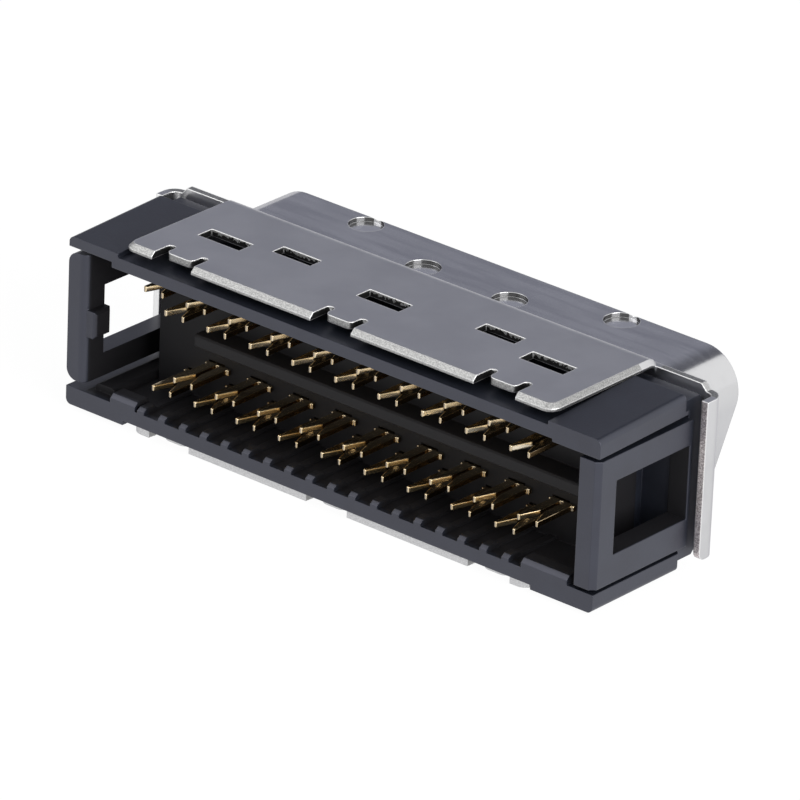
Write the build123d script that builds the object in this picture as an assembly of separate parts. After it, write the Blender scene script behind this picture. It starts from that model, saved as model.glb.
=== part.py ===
from build123d import *
from math import cos, radians, tan
import os

# A shielded ribbon plug for the end of a cable, with 36 contacts in two rows of 18. Each contact has
# a slotted fork that cuts through a core's insulation, and a flat ribbon that mates with the socket.
# One moulded insulator holds the contacts, and one folded and drawn steel shell goes around it.
# X runs along the rows, Y from the cable side to the mating side and Z up. All sizes are in mm.
# The working frame has Y = 0 on the insulator's cable face and Z = 0 midway between the two rows.

# Contact rows
ROW_COUNT = 18
PITCH = 1.27
ROW_OFFSET = PITCH / 4       # the upper forks stand this much left of the ribbons, the lower ones right
STOCK = 0.30                 # thickness of the brass strip
OUTER_LEVEL = 2.37           # height of the outer forks above the middle plane
INNER_LEVEL = 1.57           # height of the inner forks, which take turns with the outer ones
FORK_SETBACK = 0.78          # from the insulator's cable face to the tips
FORK_WIDTH = 1.18
SLOT_WIDTH = 0.20
SLOT_FLOOR = 3.20            # where the slot ends
LEAD_IN = 0.36               # how much each tine is bevelled at its tip
LEAD_IN_DEPTH = 1.05
SHOULDER = 0.13              # a fork widens by this much on each side before it enters the core
SHOULDER_DEPTH = 0.22
ROOT_OVERHANG = 0.27         # the root is this much wider than the ribbon, on the fork's side
RIBBON_WIDTH = 0.60
RIBBON_LEVEL = 0.95          # height of the ribbons' middle above the middle plane
RIBBON_PROUD = 0.15          # how much a ribbon stands above the tongue
RIBBON_SETBACK = 0.25        # from the tongue's end to the ribbons' tips
STEP_DEPTH = 0.60            # from the core's front to the middle of a contact's step
BEND = 0.16                  # bevel on the outside of each bend of a contact
COINED = 0.12                # bevel on a ribbon's tip
FIT = 0.05                   # clearance of a contact in its pocket

# Insulator, cable side
BODY_DROP = 0.08             # the outer plates sit this much lower than the contact rows
CORE_MARGIN = 2.105          # from the last ribbon's middle to the core's end
CORE_FRONT = 3.35
ARM_GAP = 1.60               # between the core's end and a side arm
ARM_WIDTH = 1.08
PLATE_DEPTH = 6.15           # the end blocks and plates are this deep
PLATE_BEVEL = 0.18           # along their rear edges
PLATE_ROUND = 0.28           # along the outer edges of the end blocks
PLATE_TILT = 0.12            # the upper plate's face is this much lower in front, and higher at the rear
REAR_DEPTH = 1.32            # the smaller rear frame is this much deeper
BODY_HEIGHT = 8.48
PLATE_THICKNESS = 0.89       # of the upper and the lower plate
REAR_STEP = 0.34             # the rear frame lies this far inside the plates' outer faces
REAR_INSET = 0.28            # and this far inside the blocks' ends
TOP_BED = 0.32               # depth of the beds below the shell's tabs
BOTTOM_BED = 0.22
TOP_BED_MARGIN = 1.84        # from the last ribbon's middle to the end of the top bed
BOTTOM_BED_MARGIN = 1.285
SHELF_FRONT = 2.10
SHELF_HEIGHT = 0.66
SHELF_INSET = 3.20           # the shelf starts this far from the core's left end
EDGE_BREAK = 0.10            # small bevel on the moulded outer edges
ARM_RECESS = 0.27            # the left arm stands under a recess of this depth in the upper plate
RECESS_SETBACK = 0.08        # from the core's end to that recess
SIDE_LIP = 0.14              # the upper plate reaches this much lower in front of the right arm

# Side arms
LEFT_ARM_RISE = 0.04         # how far the left arm's top stands above the upper plate's underside
RIGHT_ARM_DROP = 0.34        # and how far the right arm's top stays below it
LEFT_ARM_GAP = 0.39          # between the left arm and the lower plate
RIGHT_ARM_GAP = 0.18
ARM_SEAT = 0.40              # how far an arm reaches past the end blocks into the rear frame
FRONT_POST = 1.28            # depth of the post in front of an arm's window
REAR_POST = 0.14
WINDOW_HEIGHT = 3.60
LEFT_WINDOW_DROP = 0.18      # the top of the left arm's window is this much lower
LEFT_ARM_ROUND = 0.55        # along the left arm's upper and lower outer edges
LEFT_ARM_INSIDE = 0.40       # along its inner front edge
RIGHT_ARM_BEVEL = 0.25       # along the right arm's outer front edge
NUB_HEIGHT = 1.32            # the nub inside the left arm's front end, which a cover snaps behind
NUB_PROUD = 0.47
NUB_SETBACK = 0.15
NUB_BEVEL = 0.14

# Comb on the bottom plate
TOOTH_WIDTH = 0.40
TOOTH_OFFSET = -0.215        # from a ribbon's middle to its tooth's middle
TOOTH_HEIGHT = 0.28
TOOTH_DEPTH = 0.75
RIB_HEIGHT = 0.12
TOOTH_SLOPE = 0.20
PAD_HEIGHT = 0.42
PAD_DEPTH = 0.90
LEFT_PAD_LENGTH = 1.50
RIGHT_PAD_LENGTH = 2.60
PAD_OFFSET = 0.065           # from the last tooth's half pitch to the pad
REST_PAD_WIDTH = 1.20        # the rounded pad on the floor beside the left arm
REST_PAD_INSET = 0.20
REST_PAD_HEIGHT = 0.35
REST_PAD_FRONT = 0.60
REST_PAD_BACK = 4.70

# Insulator, mating side
TONGUE_MARGIN = 0.95         # from the last ribbon's middle to the tongue's end
TONGUE_LENGTH = 3.40
TONGUE_NOSE = 0.25
BASE_DEPTH = 0.45            # the base stands this far out behind the flange
BASE_FIT = 0.10

# Shell
SHEET = 0.35
TAB_PROUD = 0.33             # the tabs' outer faces stand this far outside half the body's height
TAB_FRONT = 0.32
TAB_ROLL = 0.22              # the stamped edges of the tabs are rolled over on the outside
TOP_TAB_MARGIN = 1.79        # from the last ribbon's middle to the tab's side
BOTTOM_TAB_MARGIN = 0.955
TAB_CORNER = 0.60
FLANGE_BEND = 0.72           # outer radius where the flange turns into the tabs and the skirts
FLANGE_GAP = 0.06            # between the insulator's rear frame and the flange
SKIRT_GAP = 0.32             # between the insulator's side and the inside of the skirts
SKIRT_LENGTH = 1.23          # from the flange's back to the skirt's front edge
SKIRT_STEP = 0.32            # the skirts end this far below the flange's upper edge
SLOPE_START = 0.75           # the edge slopes down to them from this far inside the skirts
SLOPE_END = 0.45
SKIRT_RISE = 0.75            # and this far above the lower tab's outer face
SKIRT_CORNER = 0.35
DRAW_LENGTH = 4.40           # the drawn collar beyond the flange
COLLAR_DROP = 0.96           # from the tabs' outer faces to the collar's
COLLAR_MARGIN = 3.56         # from the last ribbon's middle to the collar's sharp upper corner
COLLAR_LEAN = 15.9           # lean of the collar's ends, in degrees
COLLAR_CORNER = 1.90
RIM_BEVEL = 0.12
DRAW_ROUND = 0.30

# Details pressed and cut in the shell
FINGER_WIDTH = 1.53
FINGER_SLOT = 0.43
FINGER_LENGTH = 1.28         # from the tab's front to the round ends of the slots
FINGER_SETBACK = 0.50
FINGER_CORNER = 0.30
FINGER_INSET = 2.27          # from the lower tab's side to the middle of the outer fingers
FINGER_SHIFTS = (-0.20, -0.05)       # sideways, in the upper tab and in the lower one turned over
FRONT_WINDOW = (2.50, 0.98)
FRONT_WINDOW_PLACE = 3.77
REAR_WINDOW = (2.26, 0.80)
REAR_WINDOW_PLACE = 4.69
REAR_WINDOW_SPACING = 5.98
DIMPLE_RADIUS = 0.84
DIMPLE_DEPTH = 0.22
DIMPLES = [(2.55, 2.75), (7.55, 0.90)]      # distance from the middle, and from the rim

# Allowances for building
REACH = 1.0                  # a cutting shape goes this far past what it cuts
EMBED = 0.2                  # an added shape starts this far inside what carries it
HAIR = 0.01                  # closeness in which edges are looked for

# Places that follow from the sizes above
row_half = (ROW_COUNT - 1) * PITCH / 2
grid = [PITCH * k - row_half for k in range(ROW_COUNT)]
core_half = row_half + CORE_MARGIN
arm_inner = core_half + ARM_GAP
body_half = arm_inner + ARM_WIDTH
body_top = BODY_HEIGHT / 2 - BODY_DROP
body_bottom = -BODY_HEIGHT / 2 - BODY_DROP
plate_under = body_top - PLATE_THICKNESS
floor = body_bottom + PLATE_THICKNESS
arm_root = PLATE_DEPTH + ARM_SEAT
body_back = PLATE_DEPTH + REAR_DEPTH
flange_front = body_back + FLANGE_GAP
flange_back = flange_front + SHEET
rim = flange_back + DRAW_LENGTH
base_back = flange_back + BASE_DEPTH
tongue_end = base_back + TONGUE_LENGTH
tongue_half = row_half + TONGUE_MARGIN
tongue_top = RIBBON_LEVEL + STOCK / 2 - RIBBON_PROUD
step_middle = CORE_FRONT + STEP_DEPTH
shell_top = BODY_HEIGHT / 2 + TAB_PROUD
collar_half = shell_top - COLLAR_DROP
flange_top = shell_top - SHEET
skirt_front = flange_back - SKIRT_LENGTH
skirt_top = flange_top - SKIRT_STEP
skirt_bottom = SKIRT_RISE - shell_top
skirt_outer = body_half + SKIRT_GAP + SHEET
finger_spacing = row_half + BOTTOM_TAB_MARGIN - FINGER_INSET
overall_depth = rim


def block(low, high):
    """A box from its lowest corner to its highest."""
    size = [high[i] - low[i] for i in range(3)]
    middle = [(high[i] + low[i]) / 2 for i in range(3)]
    return Pos(*middle) * Box(*size)


def both_ends(shape):
    """The shape and its mirror image at the other end of the connector."""
    return [shape, mirror(shape, Plane.YZ)]


def side_profile(points, low, high):
    """A closed outline in Y and Z, given a thickness from one X to the other."""
    face = Plane.YZ.offset(low) * make_face(Polyline(*points, close=True))
    return extrude(face, amount=high - low)


def corner_of(shape, u, v):
    """The outline's corner nearest to a point."""
    return min(shape.vertices(), key=lambda corner: abs(corner.X - u) + abs(corner.Y - v))


def fork_blade(level):
    """The flat fork of an upper contact, with its ribbon on X = 0."""
    middle = -ROW_OFFSET
    half = FORK_WIDTH / 2
    wide = half + SHOULDER
    shoulder = CORE_FRONT - FIT / 2 - SHOULDER_DEPTH
    seat = CORE_FRONT - FIT / 2
    root = (-RIBBON_WIDTH / 2 - ROOT_OVERHANG, RIBBON_WIDTH / 2)
    outline = Polyline(
        (middle - half, FORK_SETBACK), (middle - half, shoulder), (middle - wide, shoulder),
        (middle - wide, seat), (root[0], seat), (root[0], step_middle - STOCK),
        (root[1], step_middle - STOCK), (root[1], seat), (middle + wide, seat),
        (middle + wide, shoulder), (middle + half, shoulder), (middle + half, FORK_SETBACK), close=True)
    slit = SLOT_WIDTH / 2
    mouth = slit + LEAD_IN
    slot = Polyline(
        (middle - mouth, FORK_SETBACK), (middle - slit, FORK_SETBACK + LEAD_IN_DEPTH),
        (middle - slit, SLOT_FLOOR), (middle + slit, SLOT_FLOOR),
        (middle + slit, FORK_SETBACK + LEAD_IN_DEPTH), (middle + mouth, FORK_SETBACK), close=True)
    plan = make_face(outline) - make_face(slot)
    return Pos(0, 0, level - STOCK / 2) * extrude(plan, amount=STOCK)


def ribbon_strip(level):
    """The strip from the fork's root, down the step and along the tongue."""
    half = STOCK / 2
    start = CORE_FRONT
    tip = tongue_end - RIBBON_SETBACK
    low, high = step_middle - half, step_middle + half
    under, over = RIBBON_LEVEL - half, RIBBON_LEVEL + half
    outline = make_face(Polyline(
        (start, level + half), (high, level + half), (high, over), (tip - 2 * COINED, over),
        (tip, over - COINED), (tip, under), (low, under), (low, level - half), (start, level - half),
        close=True))
    outline = chamfer([corner_of(outline, high, level + half), corner_of(outline, low, under)], BEND)
    return extrude(Plane.YZ * outline, amount=RIBBON_WIDTH / 2, both=True)


def upper_contact(level):
    """A whole contact of the upper row, with its ribbon on X = 0."""
    return fork_blade(level) + ribbon_strip(level)


def contact_pocket(level):
    """The room of an upper contact in the insulator, which is moulded around its step."""
    half = STOCK / 2 + FIT
    root = block((-RIBBON_WIDTH / 2 - ROOT_OVERHANG - FIT, CORE_FRONT - REACH, level - half),
                 (RIBBON_WIDTH / 2 + FIT, step_middle + half, level + half))
    step = block((-RIBBON_WIDTH / 2 - FIT, step_middle - half, RIBBON_LEVEL - half),
                 (RIBBON_WIDTH / 2 + FIT, step_middle + half, level + half))
    passage = block((-RIBBON_WIDTH / 2 - FIT, step_middle, RIBBON_LEVEL - half),
                    (RIBBON_WIDTH / 2 + FIT, base_back + FIT, RIBBON_LEVEL + half))
    groove = block((-RIBBON_WIDTH / 2 - FIT, base_back, RIBBON_LEVEL - half),
                   (RIBBON_WIDTH / 2 + FIT, tongue_end - RIBBON_SETBACK + FIT, RIBBON_LEVEL + REACH))
    return root + step + passage + groove


def fork_level(index):
    """Outer and inner forks take turns along a row."""
    return OUTER_LEVEL if index % 2 == 0 else INNER_LEVEL


def in_upper_row(shapes, index):
    """Moves an upper shape, chosen by its fork's level, to its place in the row."""
    return Pos(grid[index], 0, 0) * shapes[fork_level(index)]


def in_lower_row(shapes, index):
    """The lower row is the upper one turned half a turn about Y."""
    return Pos(grid[index], 0, 0) * Rot(0, 180, 0) * shapes[fork_level(index)]


def collar_outline(inset=0.0):
    """The D outline of the mating side in X and Z, wide side up, drawn smaller by the inset."""
    lean = radians(COLLAR_LEAN)
    half = collar_half - inset
    top = row_half + COLLAR_MARGIN - inset * (tan(lean) + 1 / cos(lean))
    bottom = top - 2 * half * tan(lean)
    outline = make_face(Polyline((-top, half), (top, half), (bottom, -half), (-bottom, -half), close=True))
    return fillet(outline.vertices(), COLLAR_CORNER - inset)


def collar_prism(inset, front, back):
    """The D outline given a length from one Y to the other."""
    face = Plane((0, back, 0), x_dir=(1, 0, 0), z_dir=(0, -1, 0)) * collar_outline(inset)
    return extrude(face, amount=back - front)


def right_arm():
    """The springy frame at the right end: a plate with a window, fixed at the rear only."""
    plate = block((arm_inner, 0, floor + RIGHT_ARM_GAP), (body_half, arm_root, plate_under - RIGHT_ARM_DROP))
    outer = plate.edges().filter_by(Axis.Z).group_by(Axis.Y)[0].sort_by(Axis.X)[-1]
    return chamfer(outer, RIGHT_ARM_BEVEL) - arm_window(0)


def left_arm():
    """The same at the left end, rounder and taller, with a nub inside its front end."""
    plan = make_face(Polyline(
        (-body_half, 0), (-arm_inner, 0), (-arm_inner, arm_root), (-body_half, arm_root), close=True))
    plan = fillet(corner_of(plan, -arm_inner, 0), LEFT_ARM_INSIDE)
    bottom, top = floor + LEFT_ARM_GAP, plate_under + LEFT_ARM_RISE
    plate = Pos(0, 0, bottom) * extrude(plan, amount=top - bottom)
    outer = plate.edges().filter_by(Axis.Y).group_by(Axis.X)[0]
    plate = fillet(outer, LEFT_ARM_ROUND)
    nub = block((-arm_inner - LEFT_ARM_INSIDE, NUB_SETBACK, -NUB_HEIGHT / 2 - BODY_DROP),
                (NUB_PROUD - arm_inner, FRONT_POST, NUB_HEIGHT / 2 - BODY_DROP))
    nub = chamfer(nub.edges().group_by(Axis.X)[-1], NUB_BEVEL)
    return plate + nub - mirror(arm_window(LEFT_WINDOW_DROP), Plane.YZ)


def arm_window(drop):
    """The opening in the right arm, with its top lowered."""
    half = WINDOW_HEIGHT / 2
    return block((arm_inner - REACH, FRONT_POST, -half - BODY_DROP),
                 (body_half + REACH, arm_root - REAR_POST, half - BODY_DROP - drop))


def comb():
    """The teeth that space the lower cores, the pads beside them and the rounded pad by the left arm."""
    tooth = side_profile(
        [(0, floor - EMBED), (0, floor + TOOTH_HEIGHT / 2), (TOOTH_SLOPE, floor + TOOTH_HEIGHT),
         (TOOTH_DEPTH, floor + TOOTH_HEIGHT), (TOOTH_DEPTH + TOOTH_SLOPE, floor + RIB_HEIGHT),
         (CORE_FRONT + EMBED, floor + RIB_HEIGHT), (CORE_FRONT + EMBED, floor - EMBED)],
        TOOTH_OFFSET - TOOTH_WIDTH / 2, TOOTH_OFFSET + TOOTH_WIDTH / 2)
    teeth = [Pos(x, 0, 0) * tooth for x in grid]
    pad_profile = [
        (0, floor - EMBED), (0, floor + PAD_HEIGHT - TOOTH_SLOPE), (TOOTH_SLOPE, floor + PAD_HEIGHT),
        (PAD_DEPTH, floor + PAD_HEIGHT), (PAD_DEPTH + TOOTH_SLOPE, floor - EMBED)]
    left_end = grid[0] - PITCH / 2 + PAD_OFFSET
    right_start = grid[-1] + PITCH / 2 + PAD_OFFSET
    left_pad = side_profile(pad_profile, left_end - LEFT_PAD_LENGTH, left_end)
    right_pad = side_profile(pad_profile, right_start, right_start + RIGHT_PAD_LENGTH)
    rest_start = REST_PAD_INSET - arm_inner
    rest = block((rest_start, REST_PAD_FRONT, floor - EMBED),
                 (rest_start + REST_PAD_WIDTH, REST_PAD_BACK, floor + REST_PAD_HEIGHT))
    rest = fillet(rest.edges().filter_by(Axis.Y).sort_by(Axis.Z)[-2:], REST_PAD_HEIGHT * 0.7)
    return teeth + [left_pad, right_pad, rest]


def insulator_body():
    """The moulded insulator with all its contact pockets."""
    blocks = side_profile(
        [(0, body_bottom), (0, body_top - PLATE_TILT), (PLATE_DEPTH, body_top + PLATE_TILT),
         (PLATE_DEPTH, body_bottom)], -body_half, body_half)
    ends = blocks.faces().sort_by(Axis.X)
    rounded = [end.edges().sort_by(Axis.Z)[i] for end in (ends[0], ends[-1]) for i in (0, -1)]
    blocks = fillet(rounded, PLATE_ROUND)
    blocks = chamfer(blocks.edges().group_by(Axis.Y)[-1], PLATE_BEVEL)
    rear_half = body_half - REAR_INSET
    rear = block((-rear_half, PLATE_DEPTH - ARM_SEAT, body_bottom + REAR_STEP),
                 (rear_half, body_back, body_top - REAR_STEP))
    rear = chamfer(rear.edges().filter_by(Axis.X).sort_by(Axis.Y)[-2:], 2 * EDGE_BREAK)
    top_bed = block((-row_half - TOP_BED_MARGIN, -REACH, body_top - TOP_BED),
                    (row_half + TOP_BED_MARGIN, rim, body_top + REACH))
    bottom_bed = block((-row_half - BOTTOM_BED_MARGIN, -REACH, body_bottom - REACH),
                       (row_half + BOTTOM_BED_MARGIN, rim, body_bottom + BOTTOM_BED))
    cavity = block((-body_half - REACH, -REACH, floor), (body_half + REACH, CORE_FRONT, plate_under))
    side_gap = block((core_half, -REACH, floor), (body_half + REACH, arm_root, plate_under))
    lip = side_profile(
        [(0, plate_under + EMBED), (0, plate_under - SIDE_LIP), (PLATE_DEPTH, plate_under + HAIR),
         (PLATE_DEPTH, plate_under + EMBED)], core_half, body_half)
    recess = block((-body_half - REACH, -REACH, 0),
                   (-core_half - RECESS_SETBACK, PLATE_DEPTH, plate_under + ARM_RECESS))
    half_shelf = SHELF_HEIGHT / 2
    shelf = block((SHELF_INSET - core_half, SHELF_FRONT, -half_shelf),
                  (core_half, CORE_FRONT + EMBED, half_shelf))
    shelf = chamfer(shelf.edges().filter_by(Axis.X).sort_by(Axis.Y)[:2], EDGE_BREAK)
    base = collar_prism(SHEET + BASE_FIT, body_back - EMBED, base_back)
    tongue = block((-tongue_half, base_back - EMBED, -tongue_top), (tongue_half, tongue_end, tongue_top))
    tongue = chamfer(tongue.edges().filter_by(Axis.X).sort_by(Axis.Y)[-2:], TONGUE_NOSE)

    body = blocks + rear - [top_bed, bottom_bed, cavity, recess] - both_ends(side_gap)
    body = body + [lip, right_arm(), left_arm(), shelf, base, tongue] + comb()
    pockets = {level: contact_pocket(level) for level in (OUTER_LEVEL, INNER_LEVEL)}
    upper = [in_upper_row(pockets, k) for k in range(ROW_COUNT)]
    lower = [in_lower_row(pockets, k) for k in range(ROW_COUNT)]
    return body - upper - lower


def folded_strip():
    """The flange with its top and bottom tabs: one strip folded twice towards the cable side."""
    top, bottom = shell_top - SHEET, -shell_top + SHEET
    outline = make_face(Polyline(
        (TAB_FRONT, shell_top), (flange_back, shell_top), (flange_back, -shell_top), (TAB_FRONT, -shell_top),
        (TAB_FRONT, bottom), (flange_front, bottom), (flange_front, top), (TAB_FRONT, top), close=True))
    outside = [corner_of(outline, flange_back, shell_top), corner_of(outline, flange_back, -shell_top)]
    outline = fillet(outside, FLANGE_BEND)
    inside = [corner_of(outline, flange_front, top), corner_of(outline, flange_front, bottom)]
    outline = fillet(inside, FLANGE_BEND - SHEET)
    half = row_half + TOP_TAB_MARGIN
    strip = extrude(Plane.YZ * outline, amount=half, both=True)
    lower_half = row_half + BOTTOM_TAB_MARGIN
    trim = block((lower_half, -REACH, -shell_top - REACH), (half + REACH, flange_front - FLANGE_BEND, 0))
    strip = strip - both_ends(trim)
    for side in (1, -1):
        front = strip.edges().filter_by(Axis.Z).group_by(Axis.Y)[0]
        strip = fillet(front.filter_by(lambda edge: edge.center().Z * side > 0), TAB_CORNER)
    outside = [strip.faces().sort_by(Axis.Z)[i].edges() for i in (0, -1)]
    rolled = [edge for edges in outside for edge in edges.sort_by(Axis.Y)[:-1]]
    return chamfer(rolled, TAB_ROLL)


def skirted_flange():
    """The flange's two ends, which turn towards the cable side as short skirts."""
    inner = skirt_outer - SHEET
    outline = make_face(Polyline(
        (-skirt_outer, skirt_front), (-skirt_outer, flange_back), (skirt_outer, flange_back),
        (skirt_outer, skirt_front), (inner, skirt_front), (inner, flange_front), (-inner, flange_front),
        (-inner, skirt_front), close=True))
    outside = [corner_of(outline, side * skirt_outer, flange_back) for side in (-1, 1)]
    outline = fillet(outside, FLANGE_BEND)
    inside = [corner_of(outline, side * inner, flange_front) for side in (-1, 1)]
    outline = fillet(inside, FLANGE_BEND - SHEET)
    plate = Pos(0, 0, skirt_bottom) * extrude(outline, amount=flange_top - skirt_bottom)
    above = make_face(Polyline(
        (inner - SLOPE_START, flange_top), (inner - SLOPE_END, skirt_top), (skirt_outer + REACH, skirt_top),
        (skirt_outer + REACH, flange_top + REACH), (inner - SLOPE_START, flange_top + REACH), close=True))
    over_skirt = extrude(Plane.XZ * above, amount=rim, both=True)
    plate = plate - both_ends(over_skirt)
    feet = plate.edges().filter_by(Axis.X).group_by(Axis.Y)[0].group_by(Axis.Z)[0]
    return fillet(feet, SKIRT_CORNER)


def finger_opening():
    """The opening around a spring finger: a set-back front and a slot with a round end on each side."""
    half = FINGER_WIDTH / 2
    outer = half + FINGER_SLOT
    front, root = TAB_FRONT + FINGER_SETBACK, TAB_FRONT + FINGER_LENGTH
    plan = make_face(Polyline((-outer, -REACH), (outer, -REACH), (outer, root), (-outer, root), close=True))
    leaf = make_face(Polyline(
        (-half, front), (half, front), (half, root + REACH), (-half, root + REACH), close=True))
    plan = plan - fillet([corner_of(leaf, -half, front), corner_of(leaf, half, front)], FINGER_CORNER)
    plan = fillet(plan.vertices().group_by(Axis.Y)[-1], 0.48 * FINGER_SLOT)
    return Pos(0, 0, shell_top - 2 * SHEET) * extrude(plan, amount=4 * SHEET)


def tab_cuts(shift):
    """The openings in the top tab: those around its three fingers, and the five windows."""
    opening = finger_opening()
    cuts = []
    for x in (-finger_spacing, 0, finger_spacing):
        cuts.append(Pos(x + shift, 0, 0) * opening)
        cuts.append(Pos(x, FRONT_WINDOW_PLACE, shell_top) * Box(*FRONT_WINDOW, 4 * SHEET))
    for x in (-REAR_WINDOW_SPACING, REAR_WINDOW_SPACING):
        cuts.append(Pos(x, REAR_WINDOW_PLACE, shell_top) * Box(*REAR_WINDOW, 4 * SHEET))
    return cuts


def dimple(depth):
    """A round dimple with a flat floor, pressed down from Z = 0."""
    return Pos(0, 0, -depth / 2) * Cylinder(DIMPLE_RADIUS, depth)


def neck_edges(sheet):
    """The edges where the collar's outside meets the back of the flange."""
    low, high = flange_back - EMBED, flange_back + EMBED
    near = collar_prism(-HAIR, low, high) - collar_prism(HAIR, low, high)
    edges = sheet.edges().filter_by_position(Axis.Y, flange_back - HAIR, flange_back + HAIR)
    return [edge for edge in edges if near.is_inside(edge.position_at(0.5))]


def shell():
    """The steel shell: folded tabs, flange, skirts and the drawn collar in one sheet."""
    collar = collar_prism(0, flange_front, rim)
    collar = chamfer(collar.edges().group_by(Axis.Y)[-1], RIM_BEVEL)
    sheet = folded_strip() + skirted_flange() + collar
    sheet = fillet(neck_edges(sheet), DRAW_ROUND)
    sheet = sheet - collar_prism(SHEET, flange_front - REACH, rim + REACH)
    web = (SHEET - DIMPLE_DEPTH) / 2
    spots = [(side * x, rim - back) for x, back in DIMPLES for side in (-1, 1)]
    bumps = [Pos(x, y, collar_half - SHEET + web) * dimple(DIMPLE_DEPTH + web) for x, y in spots]
    dents = [Pos(x, y, collar_half) * dimple(DIMPLE_DEPTH) for x, y in spots]
    for flip, shift in zip((Rot(0, 0, 0), Rot(0, 180, 0)), FINGER_SHIFTS):
        sheet = sheet - [flip * cut for cut in tab_cuts(shift)]
        sheet = sheet + [flip * bump for bump in bumps] - [flip * dent for dent in dents]
    return sheet


def save(name, shape):
    """Moves a finished piece into the part's own frame, with its origin below the middle, and writes it."""
    solid = (Pos(0, -overall_depth / 2, shell_top) * shape).solid()
    export_step(solid, f"parts/{name}.step")


os.makedirs("parts", exist_ok=True)
save("insulator_body", insulator_body())
save("shell", shell())
contacts = {level: upper_contact(level) for level in (OUTER_LEVEL, INNER_LEVEL)}
for index in range(ROW_COUNT):
    save(f"contact_upper_{index + 1:02d}", in_upper_row(contacts, index))
    save(f"contact_lower_{index + 1:02d}", in_lower_row(contacts, index))
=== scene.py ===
import math

import bmesh
import bpy
from mathutils import Matrix, Vector


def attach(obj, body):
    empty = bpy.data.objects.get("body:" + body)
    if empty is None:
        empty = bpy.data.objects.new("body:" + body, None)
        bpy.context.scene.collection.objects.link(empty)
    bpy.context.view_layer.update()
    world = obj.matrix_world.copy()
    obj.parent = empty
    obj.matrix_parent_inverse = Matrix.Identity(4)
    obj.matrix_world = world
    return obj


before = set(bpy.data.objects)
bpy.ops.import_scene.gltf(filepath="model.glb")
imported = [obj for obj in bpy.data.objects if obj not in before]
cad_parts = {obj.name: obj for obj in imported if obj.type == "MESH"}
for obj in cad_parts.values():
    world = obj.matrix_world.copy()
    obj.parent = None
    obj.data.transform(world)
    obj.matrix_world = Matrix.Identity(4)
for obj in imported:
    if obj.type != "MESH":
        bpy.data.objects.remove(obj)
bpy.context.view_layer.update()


# Insulator. One moulding in charcoal, glass filled polyester: the end blocks, the plates, the comb,
# the core and the tongue. Its faces are fine satin from the mould, and its corners are slightly
# round. The contacts are pushed into it, and the shell's tabs are folded over it.

MM = 0.001                  # a millimetre in the frame's metres


class Socket:
    """An output of a shader node. Each operator on it adds the Math node that works it out."""

    def __init__(self, shader, output):
        self.shader = shader
        self.output = output

    def other(self, name):
        """Another output of the same node."""
        return Socket(self.shader, self.output.node.outputs[name])

    def maths(self, operation, *values):
        settings = {"operation": operation}
        return self.shader.node("ShaderNodeMath", settings, dict(enumerate(values)))

    def __add__(self, value):
        return self.maths("ADD", self, value)

    def __radd__(self, value):
        return self.maths("ADD", value, self)

    def __sub__(self, value):
        return self.maths("SUBTRACT", self, value)

    def __rsub__(self, value):
        return self.maths("SUBTRACT", value, self)

    def __mul__(self, value):
        return self.maths("MULTIPLY", self, value)

    def __rmul__(self, value):
        return self.maths("MULTIPLY", value, self)

    def __abs__(self):
        return self.maths("ABSOLUTE", self)

    def __gt__(self, value):
        return self.maths("GREATER_THAN", self, value)

    def __lt__(self, value):
        return self.maths("LESS_THAN", self, value)

    def either(self, mask):
        """The larger of two masks."""
        return self.maths("MAXIMUM", self, mask)

    def ramp(self, low, high):
        """Rises from 0 to 1 as the value goes from low to high."""
        return self.shader.node("ShaderNodeMapRange", {"interpolation_type": "SMOOTHSTEP"},
                                {"Value": self, "From Min": low, "From Max": high})


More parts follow.
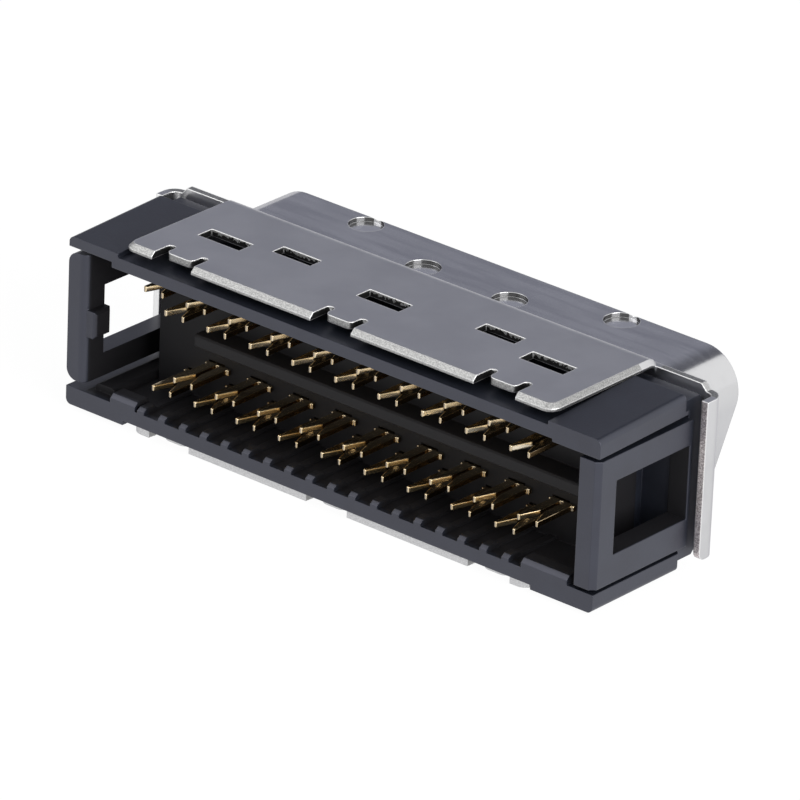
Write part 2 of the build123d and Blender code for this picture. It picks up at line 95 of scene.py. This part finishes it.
class Shader:
    """The node tree of a material or a world, built node by node."""

    def __init__(self, owner):
        owner.use_nodes = True
        self.tree = owner.node_tree
        self.tree.nodes.clear()

    def node(self, kind, settings=None, inputs=None):
        """Adds a node: first its settings, then a number, a colour or a Socket for each input."""
        node = self.tree.nodes.new(kind)
        for name, value in (settings or {}).items():
            setattr(node, name, value)
        for name, value in (inputs or {}).items():
            socket = node.inputs[name]
            if isinstance(name, str):
                named = (entry for entry in node.inputs if entry.name == name)
                socket = next(entry for entry in named if entry.enabled)
            if isinstance(value, Socket):
                self.tree.links.new(value.output, socket)
            else:
                socket.default_value = value
        return Socket(self, next((entry for entry in node.outputs if entry.enabled), None))

    def millimetres(self):
        """The place on the part in millimetres, the same from every side."""
        place = self.node("ShaderNodeTexCoord").other("Object")
        return self.node("ShaderNodeVectorMath", {"operation": "SCALE"},
                         {0: place, "Scale": 1 / MM})

    def face(self):
        """The direction that the surface faces, before any rounding by the shader."""
        return self.node("ShaderNodeNewGeometry").other("Normal")

    def axes(self, vector):
        """The three numbers of a vector."""
        parts = self.node("ShaderNodeSeparateXYZ", None, {0: vector})
        return parts.other("X"), parts.other("Y"), parts.other("Z")

    def noise(self, place, size, detail=2.0, stretch=(1, 1, 1)):
        """Noise from 0 to 1, with lumps of the given size in millimetres."""
        scaled = self.node("ShaderNodeVectorMath", {"operation": "MULTIPLY"},
                           {0: place, 1: stretch})
        return self.node("ShaderNodeTexNoise", None,
                         {"Vector": scaled, "Scale": 1 / size, "Detail": detail})

    def blend(self, factor, first, second):
        """A colour between two others."""
        return self.node("ShaderNodeMix", {"data_type": "RGBA"},
                         {"Factor": factor, "A": first, "B": second})

    def corners(self, radius):
        """The normal of the surface, with all corners rounded by a radius in millimetres."""
        return self.node("ShaderNodeBevel", {"samples": 8}, {"Radius": radius * MM})

    def bump(self, height, depth, normal):
        """A normal from a height between 0 and 1, which stands for a depth in millimetres."""
        return self.node("ShaderNodeBump", None, {
            "Height": height, "Distance": depth * MM, "Strength": 1.0, "Normal": normal})

    def finish(self, **inputs):
        """One finish, from the inputs of a Principled shader."""
        named = {name.replace("_", " "): value for name, value in inputs.items()}
        return self.node("ShaderNodeBsdfPrincipled", None, named)

    def surface(self, made):
        """Puts a finish on the material's surface."""
        self.node("ShaderNodeOutputMaterial", None, {"Surface": made})


def material(name):
    """A new material and the shader that builds it."""
    made = bpy.data.materials.new(name)
    return made, Shader(made)


def dress(node, made):
    """Gives a piece its material."""
    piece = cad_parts[node]
    for slot in piece.material_slots:
        slot.material = made
    return piece


CHARCOAL = (0.010, 0.012, 0.018, 1)
CHARCOAL_PALE = (0.014, 0.017, 0.025, 1)
CHARCOAL_SHEEN = (0.84, 0.84, 1.0, 1)
SHADED_CHARCOAL = (0.009, 0.009, 0.011, 1)
SHADED_CHARCOAL_PALE = (0.015, 0.014, 0.016, 1)
MOULDED_ROUND = 0.07        # along all the corners
MOULD_GRAIN = 0.07          # the size of the mould's fine grain
MOULD_GRAIN_DEPTH = 0.004
FILLER_CLOUDS = 1.6         # and of the faint clouds that the filler leaves
FILLER_CONTRAST = (0.3, 0.7)
SATIN_IOR = 1.72
SATIN_ROUGHNESS = 0.34
SATIN_GRAIN = 0.12          # what the grain adds to it
SHADED_IOR = 1.34
SHADED_ROUGHNESS = 0.50
SHADED_GRAIN = 0.15
CABLE_FACE = -6.14          # in Y, as the next one
PLATES_END = 0
CAVITY_HALF = 14.52
CAVITY_MIDDLE = 4.49        # its height
CAVITY_HALF_HEIGHT = 3.37
SHADE_DEPTHS = (0.05, 0.45)  # from the cable face to where the painted shade starts, and to where it is full
ARM_INSIDE = 14.45          # the right arm's window, whose inside gets the painted shade too
ARM_OUTSIDE = 15.52
WINDOW_HALF_HEIGHT = 1.83
POST_DEPTH = 0.9            # clear of the arm's front face
WINDOW_REAR = 0.35          # just past the front of its rear post, in Y


def moulded_plastic():
    """Charcoal plastic: satin outside, faintly clouded by its filler, and darker and less glossy in
    the cavity and the right arm's window, as painted shade.
    """
    made, shader = material("charcoal plastic")
    place = shader.millimetres()
    x, y, z = shader.axes(place)
    grain = shader.noise(place, MOULD_GRAIN, detail=3)
    clouds = shader.noise(place, FILLER_CLOUDS, detail=4)
    normal = shader.bump(grain, MOULD_GRAIN_DEPTH, shader.corners(MOULDED_ROUND))
    satin = shader.finish(
        Base_Color=shader.blend(clouds.ramp(*FILLER_CONTRAST), CHARCOAL, CHARCOAL_PALE),
        IOR=SATIN_IOR,
        Specular_Tint=CHARCOAL_SHEEN,
        Roughness=SATIN_ROUGHNESS + grain * SATIN_GRAIN,
        Normal=normal,
    )
    # Painted shade: a darker, less glossy finish for the cavity and the right arm's window.
    shaded_finish = shader.finish(
        Base_Color=shader.blend(clouds, SHADED_CHARCOAL, SHADED_CHARCOAL_PALE),
        IOR=SHADED_IOR,
        Roughness=SHADED_ROUGHNESS + grain * SHADED_GRAIN,
        Normal=normal,
    )
    # Where the painted shade goes: the cavity behind the cable face, and the inside of the right
    # arm's window.
    height = abs(z - CAVITY_MIDDLE)
    cavity = (abs(x) < CAVITY_HALF) * (height < CAVITY_HALF_HEIGHT) * (y < PLATES_END)
    cavity = cavity * (y - CABLE_FACE).ramp(*SHADE_DEPTHS)
    window = (x > ARM_INSIDE) * (x < ARM_OUTSIDE) * (height < WINDOW_HALF_HEIGHT)
    window = window * (y > CABLE_FACE + POST_DEPTH) * (y < WINDOW_REAR)
    painted_shade = cavity.either(window)
    shader.surface(shader.node("ShaderNodeMixShader", None, {0: painted_shade, 1: satin, 2: shaded_finish}))
    return made


dress("insulator_body", moulded_plastic())


# Contacts. Thirty-six strips stamped from gold plated copper alloy. Each has a slotted fork behind,
# which cuts through a core's insulation, and a flat ribbon on the tongue in front. They are pushed
# into the insulator's pockets from behind. Their upper lead-ins carry a painted highlight, their
# cut sides painted shade, and their tips a greyer gold.

GOLD = (0.80, 0.66, 0.43, 1)
GOLD_DEEP = (0.74, 0.57, 0.33, 1)
GOLD_LEAD_IN_HIGHLIGHT = (0.98, 0.87, 0.68, 1)
CUT_SIDE_SHADE = (0.26, 0.17, 0.08, 1)
TIP_GOLD_GREY = (0.40, 0.34, 0.27, 1)
ROLLED_LINES = 0.09         # the size of the fine lines
ROLLED_STRETCH = (1, 0.12, 1)       # they run along the strip
PLATING_CLOUDS = 0.9
PLATING_CONTRAST = (0.35, 0.7)
GOLD_ROUGHNESS = 0.17
ROLLED_ROUGHNESS = 0.10     # what the lines add to it
ROWS_MIDDLE = 4.57          # the height between the two rows
LEANING = (0.85, 0.92)      # how far a lead-in faces to the side
SQUARE = (0.955, 0.985)     # and a plain cut side
REARWARD = (0.93, 0.99)     # how far a tip faces to the cable side
COINED = 0.045              # the round that the press leaves along the edges
SHEEN = 0.09                # and how far its shine reaches
SHARP_ANGLE = 35            # in degrees, from which an edge is rounded
FLAT_ANGLE = 0.5            # up to which two facets are one face
WELD_REACH = 0.001


def gold_plate():
    """Thin gold over the rolled strip's lines, with a painted highlight on the upper lead-ins,
    painted shade on the cut sides, and greyer tips.
    """
    made, shader = material("gold plate")
    place = shader.millimetres()
    height = shader.axes(place)[2]
    across, along = shader.axes(shader.face())[:2]
    lines = shader.noise(place, ROLLED_LINES, stretch=ROLLED_STRETCH)
    clouds = shader.noise(place, PLATING_CLOUDS, detail=3)
    colour = shader.blend(clouds.ramp(*PLATING_CONTRAST), GOLD, GOLD_DEEP)
    # Painted highlight: the upper row's lead-ins, which face to the side, are paler gold.
    lead_in_highlight = abs(across).ramp(*LEANING) * (height > ROWS_MIDDLE)
    colour = shader.blend(lead_in_highlight, colour, GOLD_LEAD_IN_HIGHLIGHT)
    # Painted shade: the cut sides, which face to the side, are a dark brown.
    colour = shader.blend(abs(across).ramp(*SQUARE), colour, CUT_SIDE_SHADE)
    # The tips that face the cable side are a greyer, darker gold.
    colour = shader.blend((0 - along).ramp(*REARWARD), colour, TIP_GOLD_GREY)
    shader.surface(shader.finish(
        Base_Color=colour,
        Metallic=1.0,
        Roughness=GOLD_ROUGHNESS + lines * ROLLED_ROUGHNESS,
        Normal=shader.corners(SHEEN),
    ))
    return made


def round_edges(piece, radius):
    """Rounds a piece's sharp edges by a radius in millimetres."""
    rounded = piece.modifiers.new("rounded", "BEVEL")
    rounded.width = radius * MM
    rounded.segments = 2
    rounded.limit_method = "ANGLE"
    rounded.angle_limit = math.radians(SHARP_ANGLE)
    return rounded


def coin(piece):
    """Makes the flat faces of a stamped strip whole again and rounds its edges."""
    piece.modifiers.new("joined", "WELD").merge_threshold = WELD_REACH * MM
    flat = piece.modifiers.new("flat", "DECIMATE")
    flat.decimate_type = "DISSOLVE"
    flat.angle_limit = math.radians(FLAT_ANGLE)
    rounded = round_edges(piece, COINED)
    rounded.harden_normals = True
    rounded.miter_outer = "MITER_ARC"


plate = gold_plate()
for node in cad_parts:
    if node.startswith("contact_"):
        coin(dress(node, plate))


# Shell. One stamping of nickel plated steel sheet, 0.35 mm thick: the flange with its drawn collar,
# and the tabs folded back over the insulator. The sheet is satin, and where the press has cut it
# the edges are grainy steel. Its corners, burrs and dimple floors carry painted highlights, and its
# openings, the tabs' rolled sides and the dimples' walls painted shade.

NICKEL = (0.64, 0.64, 0.65, 1)
NICKEL_PALE = (0.70, 0.70, 0.71, 1)
NICKEL_DRAWN = (0.56, 0.56, 0.58, 1)
NICKEL_EDGE_HIGHLIGHT = (0.92, 0.92, 0.92, 1)
NICKEL_SHEEN = (0.66, 0.66, 0.69, 1)
DIMPLE_FLOOR_HIGHLIGHT = (0.78, 0.78, 0.79, 1)
DIMPLE_WALL_SHADE = (0.12, 0.12, 0.12, 1)
CUT_STEEL = (0.28, 0.28, 0.28, 1)
CUT_STEEL_PALE = (0.52, 0.52, 0.51, 1)
SHEARED_STEEL = (0.54, 0.54, 0.55, 1)
SHEARED_STEEL_PALE = (0.68, 0.68, 0.69, 1)
SHADED_SIDE_STEEL = (0.16, 0.16, 0.16, 1)
OPENING_SHADE_UPPER = (0.07, 0.07, 0.07, 1)
OPENING_SHADE_LOWER = (0.32, 0.32, 0.32, 1)
BURR_HIGHLIGHT = (0.85, 0.85, 0.84, 1)
SKIRT_STEEL = (0.90, 0.90, 0.90, 1)         # the left skirt's cut
TORN_STEEL = (0.50, 0.44, 0.45, 1)          # and the right one's
TORN_STEEL_PALE = (1.0, 0.94, 0.94, 1)
SHEET = 0.35
HALF_HEIGHT = 4.57
TAB_REAR = 0.4              # the flat stretch of the tabs ends here, in Y
TAB_HALF = 12.8
TAB_SIDE = 11.45            # the lower tab's rolled side starts here, in X
TAB_DIFFERENCE = 0.85       # and the upper one's this much further out
FINGER_FRONT = -5.05        # the fingers' front edges end here, in Y
FLANGE_MIDDLE = 1.55
FLANGE_FRONT = FLANGE_MIDDLE - SHEET / 2
SKIRT_INSIDE = 15.6
COLLAR_TOP = 8.18
DIMPLES_END = 9.0           # all four lie inside this, in X
DIMPLES_FRONT = 6.05        # and behind this, in Y
DIMPLE_FLOOR_DROP = 0.25    # just below a dimple's floor
DIMPLE_EDGE_DROP = 0.03     # just below its upper edge
NOT_DOWN = -0.5             # no face of a dimple faces further down
SHEET_FACE = (0.75, 0.90)   # how level a tab's faces are, and its cuts aren't
MOSTLY = (0.5, 0.8)         # how far a cut faces one way, to be one that faces that way
REAR_WALL = (0.6, 0.9)
ROLLED_SIDE = (0.80, 0.95)
COLLAR_UPPER = (0.80, 0.95)
DIMPLE_LEVEL = (0.3, 0.8)   # how level a dimple's floor is, and its wall isn't
SHEET_CLOUDS = 2.4          # the sizes of the marks on the sheet
DRAWN_STREAKS = 0.5
DRAWN_STRETCH = (0.12, 1, 1)
FINE_LINES = 0.08
FINE_DEPTH = 0.001
CUT_GRAINS = 0.055
CUT_STRETCH = (0.6, 1, 1)
CUT_DEPTH = 0.012
BURR_LENGTH = 0.16
BURR_SIDES = 0.03           # the burr's height round an opening
BURR_REAR = 0.13            # and how much more of it there is on a wall to the cable side
BURR_PEAKS = 1.4            # and how much higher its highest points are
SHEET_CONTRAST = (0.3, 0.7)
STREAK_CONTRAST = (0.35, 0.70)
GRAIN_CONTRAST = (0.30, 0.70)
TORN_CONTRAST = (0.35, 0.65)
BURR_CONTRAST = (0.3, 0.65)
SHEET_ROUND = 0.09          # along all the corners
HIGHLIGHT_TURN = (0.004, 0.06)   # how far the round has turned the surface, where the edge highlight is painted
HIGHLIGHT_SHARE = 0.8
NICKEL_ROUGHNESS = 0.26
CLOUDS_ROUGHER = 0.08
CUT_ROUGHER = 0.16
COLLAR_SMOOTHER = 0.13


def nickel_plate():
    """Satin nickel on the sheet's faces and grainy steel where it was cut, with painted shade in
    the openings, on the tabs' rolled sides and on the dimples' walls, and painted highlights on the
    burrs, the dimples' floors and the corners.
    """
    made, shader = material("nickel plate")
    place = shader.millimetres()
    x, y, z = shader.axes(place)
    face = shader.face()
    across, along, up = shader.axes(face)
    rearward = 0 - along

    # Where on the shell
    tab_cut = (y < TAB_REAR) * (1 - abs(up).ramp(*SHEET_FACE))
    outer = abs(x) > TAB_SIDE + TAB_DIFFERENCE * (z > HALF_HEIGHT)
    wall = tab_cut * (1 - outer) * abs(across).ramp(*MOSTLY).either(y > FINGER_FRONT)
    side = tab_cut * outer * abs(across).ramp(*ROLLED_SIDE)
    below_edge = (z < SHEET) * (y < TAB_REAR)
    skirt_cut = (abs(x) > SKIRT_INSIDE) * (y < FLANGE_FRONT) * rearward.ramp(*MOSTLY)
    flange_cut = (abs(x) > TAB_HALF) * (abs(y - FLANGE_MIDDLE) < SHEET) * abs(up).ramp(*MOSTLY)
    cut = tab_cut.either(skirt_cut).either(flange_cut)
    collar = (y - FLANGE_MIDDLE).ramp(SHEET / 2, SHEET)
    dimple = collar * (z > COLLAR_TOP - DIMPLE_FLOOR_DROP) * (z < COLLAR_TOP - DIMPLE_EDGE_DROP)
    dimple = dimple * (abs(x) < DIMPLES_END) * (y < DIMPLES_FRONT) * (up > NOT_DOWN)

    # The sheet's faces
    clouds = shader.noise(place, SHEET_CLOUDS, detail=4)
    drawn = shader.noise(place, DRAWN_STREAKS, detail=4, stretch=DRAWN_STRETCH)
    nickel = shader.blend(clouds.ramp(*SHEET_CONTRAST), NICKEL, NICKEL_PALE)
    streaks = collar * up.ramp(*COLLAR_UPPER) * drawn.ramp(*STREAK_CONTRAST)
    nickel = shader.blend(streaks, nickel, NICKEL_DRAWN)
    # Painted highlight on the dimples' floors, and painted shade on their walls.
    nickel = shader.blend(dimple, nickel, DIMPLE_FLOOR_HIGHLIGHT)
    nickel = shader.blend(dimple * (1 - up.ramp(*DIMPLE_LEVEL)), nickel, DIMPLE_WALL_SHADE)

    # The cuts
    grains = shader.noise(place, CUT_GRAINS, detail=3, stretch=CUT_STRETCH)
    speckle = grains.ramp(*GRAIN_CONTRAST)
    steel = shader.blend(speckle, CUT_STEEL, CUT_STEEL_PALE)
    sheared = shader.blend(speckle, SHEARED_STEEL, SHEARED_STEEL_PALE)
    steel = shader.blend(below_edge, steel, sheared)
    # Painted shade: the tabs' rolled sides are near black.
    steel = shader.blend(side, steel, SHADED_SIDE_STEEL)
    burr = shader.noise(place, BURR_LENGTH, detail=3)
    depth = HALF_HEIGHT - abs(z - HALF_HEIGHT)
    burr_height = BURR_SIDES + BURR_REAR * rearward.ramp(*REAR_WALL)
    # Painted highlight: a bright, ragged line along each opening's outer rim, where the burr is.
    highlighted_rim = depth < burr_height * burr.ramp(*BURR_CONTRAST) * BURR_PEAKS
    # Painted shade: the walls of the tabs' openings are dark, darkest in the upper tab.
    opening_shade = shader.blend(z > HALF_HEIGHT, OPENING_SHADE_LOWER, OPENING_SHADE_UPPER)
    steel = shader.blend(wall, steel, shader.blend(highlighted_rim, opening_shade, BURR_HIGHLIGHT))
    torn = shader.blend(grains.ramp(*TORN_CONTRAST), TORN_STEEL, TORN_STEEL_PALE)
    steel = shader.blend(skirt_cut, steel, shader.blend(x > 0, SKIRT_STEEL, torn))

    # The corners: rounded and painted with a bright highlight, but square and without it along the
    # lower tab's front and on the collar
    rounded = shader.corners(SHEET_ROUND)
    turned = shader.node("ShaderNodeVectorMath", {"operation": "DOT_PRODUCT"},
                         {0: rounded, 1: face}).other("Value")
    # Painted highlight: a pale line along every rounded corner.
    edge_highlight = (1 - turned).ramp(*HIGHLIGHT_TURN) * (1 - below_edge) * (1 - collar)
    normal = shader.node("ShaderNodeMix", {"data_type": "VECTOR"},
                         {"Factor": below_edge, "A": rounded, "B": face})
    normal = shader.bump(shader.noise(place, FINE_LINES, detail=2), FINE_DEPTH, normal)

    colour = shader.blend(cut, nickel, steel)
    shader.surface(shader.finish(
        Base_Color=shader.blend(edge_highlight * HIGHLIGHT_SHARE, colour, NICKEL_EDGE_HIGHLIGHT),
        Metallic=1.0,
        Specular_Tint=NICKEL_SHEEN,
        Roughness=(NICKEL_ROUGHNESS + clouds * CLOUDS_ROUGHER + cut * CUT_ROUGHER
                   - collar * COLLAR_SMOOTHER),
        Normal=shader.bump(grains * cut * (1 - below_edge), CUT_DEPTH, normal),
    ))
    return made


plating = nickel_plate()
dress("shell", plating)


# Lower tab's front edge. Part of the same stamping: here the press has left the edge square and a
# little further out than on the upper tab, so its full thickness shows below the insulator as a
# light strip. The three fingers' ends are round.

EDGE_BREAK = 0.03           # the small round along its corners
EDGE_INSET = 0.004          # inside the tab's own faces
EDGE_HALF = 11.75           # half of its length
EDGE_FRONT = -5.93          # in Y, as the next two
EDGE_REAR = -5.30
EDGE_ENDS_REAR = -5.20      # where its round ends start
EDGE_ENDS_ROUND = 0.60
FINGERS_MIDDLE = 0.05       # in X
FINGER_SPACING = 9.48
FINGER_HALF = 0.77
FINGER_TIP = -5.55          # in Y, as the next one
FINGER_REAR = -5.00
FINGER_ROUND = 0.45
OPENING_HALF = 1.195        # of the opening that a finger stands in
ROUND_STEPS = 8


def plan_of_stretch(left, right, front, rear, left_round, right_round):
    """The outline seen from above, from the rear left corner round the front."""
    points = [(left, rear)]
    for step in range(ROUND_STEPS + 1):
        turn = math.radians(90 * step / ROUND_STEPS)
        points.append((left + left_round * (1 - math.cos(turn)),
                       front + left_round * (1 - math.sin(turn))))
    for step in range(ROUND_STEPS, -1, -1):
        turn = math.radians(90 * step / ROUND_STEPS)
        points.append((right - right_round * (1 - math.cos(turn)),
                       front + right_round * (1 - math.sin(turn))))
    points.append((right, rear))
    return list(dict.fromkeys(points))


def plans_of_edge():
    """The outlines of the four straight stretches and of the three fingers' ends."""
    fingers = [FINGERS_MIDDLE + FINGER_SPACING * step for step in (-1, 0, 1)]
    ends = [-EDGE_HALF]
    for middle in fingers:
        ends += [middle - OPENING_HALF, middle + OPENING_HALF]
    ends.append(EDGE_HALF)
    plans = []
    for left, right in zip(ends[::2], ends[1::2]):
        left_round = EDGE_ENDS_ROUND if left == -EDGE_HALF else 0
        right_round = EDGE_ENDS_ROUND if right == EDGE_HALF else 0
        rear = EDGE_ENDS_REAR if left_round or right_round else EDGE_REAR
        plans.append(plan_of_stretch(left + EDGE_INSET, right - EDGE_INSET,
                                     EDGE_FRONT, rear, left_round, right_round))
    for middle in fingers:
        half = FINGER_HALF - EDGE_INSET
        plans.append(plan_of_stretch(middle - half, middle + half,
                                     FINGER_TIP, FINGER_REAR, FINGER_ROUND, FINGER_ROUND))
    return plans


def front_edge():
    """All stretches of the edge in one mesh."""
    made = bmesh.new()
    for outline in plans_of_edge():
        low = [made.verts.new((x * MM, y * MM, EDGE_INSET * MM)) for x, y in outline]
        high = [made.verts.new((x * MM, y * MM, (SHEET - EDGE_INSET) * MM)) for x, y in outline]
        made.faces.new(low[::-1])
        made.faces.new(high)
        for first in range(len(outline)):
            second = (first + 1) % len(outline)
            made.faces.new((low[first], low[second], high[second], high[first]))
    mesh = bpy.data.meshes.new("lower_tab_edge")
    made.to_mesh(mesh)
    made.free()
    mesh.materials.append(plating)
    piece = bpy.data.objects.new("lower_tab_edge", mesh)
    bpy.context.collection.objects.link(piece)
    round_edges(piece, EDGE_BREAK)
    return piece


edge = front_edge()
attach(edge, "root")


# Studio. A bright pale floor that keeps the plug's shadow, and an even white surround. A grey
# ceiling over the mating side and the left only shows as a reflection, and is darkest above the
# plug. Two soft lamps hang at the right and at the front left.

WHITE = (1, 1, 1, 1)
SOFT_LIGHT = 0.25           # what the white surround sheds on things
CARD = (0.8, 0.8, 0.8, 1)
FLOOR_REACH = 1.5
FLOOR_DROP = 0.02           # below the plug, in millimetres
FLOOR_GLOW = 0.87           # the share of the floor's own light
FLOOR_LIFT = 0.10           # what it needs more to be white to the camera
CEILING_GREY = (0.84, 0.86, 1.0, 1)
CEILING_DARKEST = 0.04      # its strength above the plug
CEILING_LIFT = 0.35         # and how much stronger it is further out
CEILING_HEIGHT = 0.60
CEILING_REACH = 3.0
CEILING_RIGHT = 0.05        # its right edge
CEILING_FRONT = 0.05        # and its front edge, in Y
GREY_DISTANCE = 1.25        # from the plug to where it has reached its full grey


def seen_directly(shader):
    """1 for what the camera sees, itself or in metal or glass, and 0 for the light on things."""
    path = shader.node("ShaderNodeLightPath")
    seen = path.other("Is Camera Ray").either(path.other("Is Glossy Ray"))
    return seen.either(path.other("Is Transmission Ray"))


def emission(shader, colour, strength):
    """Light of one colour."""
    return shader.node("ShaderNodeEmission", None, {"Color": colour, "Strength": strength})


world = bpy.data.worlds.new("surround")
bpy.context.scene.world = world
surround = Shader(world)
brightness = SOFT_LIGHT + (1 - SOFT_LIGHT) * seen_directly(surround)
background = surround.node("ShaderNodeBackground", None, {"Color": WHITE, "Strength": brightness})
surround.node("ShaderNodeOutputWorld", None, {"Surface": background})


def level_sheet(name, left, right, front, rear, height, made):
    """A level rectangle of the studio."""
    corners = [(left, front, height), (right, front, height),
               (right, rear, height), (left, rear, height)]
    mesh = bpy.data.meshes.new(name)
    mesh.from_pydata(corners, [], [(0, 1, 2, 3)])
    sheet = bpy.data.objects.new(name, mesh)
    bpy.context.collection.objects.link(sheet)
    mesh.materials.append(made)
    return sheet


def floor_finish():
    """Opal white, lit from within, on which the lamps still draw a faint shadow."""
    made, shader = material("floor")
    card = shader.node("ShaderNodeBsdfDiffuse", None, {"Color": CARD})
    seen = shader.node("ShaderNodeLightPath").other("Is Camera Ray")
    glow = emission(shader, WHITE, 1.0 + FLOOR_LIFT * seen)
    shader.surface(shader.node("ShaderNodeMixShader", None, {0: FLOOR_GLOW, 1: card, 2: glow}))
    return made


def ceiling_finish():
    """Cool grey all round, and darker right above the plug."""
    made, shader = material("ceiling")
    place = shader.node("ShaderNodeTexCoord").other("Object")
    distance = shader.node("ShaderNodeVectorMath", {"operation": "LENGTH"}, {0: place})
    lift = CEILING_LIFT * distance.ramp(CEILING_HEIGHT, GREY_DISTANCE)
    shader.surface(emission(shader, CEILING_GREY, CEILING_DARKEST + lift))
    return made


level_sheet("floor", -FLOOR_REACH, FLOOR_REACH, -FLOOR_REACH, FLOOR_REACH, -FLOOR_DROP * MM,
            floor_finish())
ceiling = level_sheet("ceiling", -CEILING_REACH, CEILING_RIGHT, CEILING_FRONT, CEILING_REACH,
                      CEILING_HEIGHT, ceiling_finish())
ceiling.visible_camera = False
ceiling.visible_diffuse = False
ceiling.visible_transmission = False
ceiling.visible_shadow = False


def lamp(name, azimuth, elevation, distance, size, power):
    """A square soft lamp that faces the plug. Azimuth 0 is off its cable side, 90 the right."""
    light = bpy.data.lights.new(name, "AREA")
    light.shape = "SQUARE"
    light.size = size
    light.energy = power
    around = math.radians(azimuth)
    up = math.radians(elevation)
    away = Vector((math.sin(around) * math.cos(up), -math.cos(around) * math.cos(up),
                   math.sin(up)))
    stand = bpy.data.objects.new(name, light)
    stand.location = away * distance
    stand.rotation_euler = away.to_track_quat("Z", "Y").to_euler()
    bpy.context.collection.objects.link(stand)


lamp("right lamp", azimuth=78, elevation=18, distance=0.35, size=0.30, power=1.1)
lamp("front lamp", azimuth=-54, elevation=45, distance=0.40, size=0.25, power=0.22)


# Camera. It stands off the cable side, to the right and above, as far away as the even size of the
# forks along the row shows.

SENSOR = 36.0
LENS = 373.9
NEAREST = 0.01
FURTHEST = 20.0
EYE = Vector((215.97, -263.75, 160.04)) * MM
RIGHT = Vector((0.7608, 0.6479, 0.0381))
DOWN = Vector((0.2972, -0.2956, -0.9079))
FORWARD = Vector((-0.5770, 0.7020, -0.4174))

lens = bpy.data.cameras.new("camera")
lens.sensor_width = SENSOR
lens.lens = LENS
lens.clip_start = NEAREST
lens.clip_end = FURTHEST
camera = bpy.data.objects.new("camera", lens)
turned = Matrix((RIGHT, -DOWN, -FORWARD)).transposed().to_4x4()
camera.matrix_world = Matrix.Translation(EYE) @ turned
bpy.context.collection.objects.link(camera)
bpy.context.scene.camera = camera
bpy.context.scene.view_settings.view_transform = "Standard"
